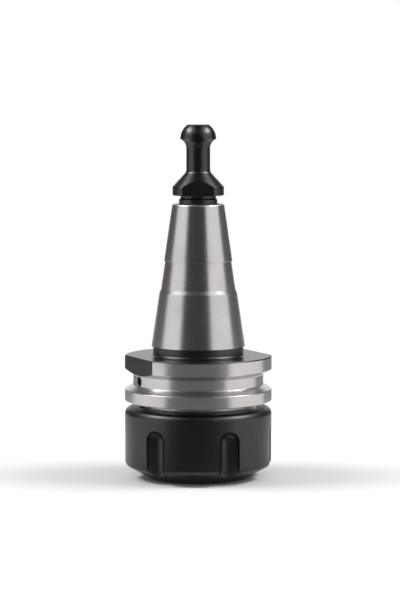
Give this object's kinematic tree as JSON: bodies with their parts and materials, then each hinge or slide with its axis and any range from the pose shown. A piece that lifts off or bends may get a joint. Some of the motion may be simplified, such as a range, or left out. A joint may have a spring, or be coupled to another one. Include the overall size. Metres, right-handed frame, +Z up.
{
  "type": "collet chuck holder",
  "caption": "Steep-taper tool holder with a flange for a tool changer, a screwed-on clamping nut, a spring collet and a retention knob.",
  "frame": {"origin": "centre of the nut's front face, on the spindle axis, where the holder stands", "axes": "+Z up along the spindle axis towards the retention knob, -Y towards the front"},
  "size_m": [0.05, 0.05, 0.1201],
  "materials": {
    "ground_steel": "ground, with a blackened neck, flange top and flats",
    "black_oxide_knob": "satin black oxide on hardened steel",
    "black_oxide_nut": "satin black oxide on steel, edges slightly worn",
    "spring_steel": "finely ground"
  },
  "bodies": {
    "holder": {"holder_body": "ground_steel", "retention_knob": "black_oxide_knob"},
    "collet": {"spring_collet": "spring_steel"},
    "nut": {"clamping_nut": "black_oxide_nut"}
  },
  "joints": [
    {"name": "collet_slide", "type": "slide", "parent": "holder", "child": "collet", "axis": [0, 0, -1], "range_m": [0, 0.0121]},
    {"name": "nut_turn", "type": "hinge", "parent": "collet", "child": "nut", "pos_m": [0, 0, 0.018], "axis": [0, 0, -1], "range_deg": [0, 2880]}
  ],
  "couplings": [
    {"joint": "collet_slide", "follows": "nut_turn", "m_per_rad": 0.00023873}
  ]
}
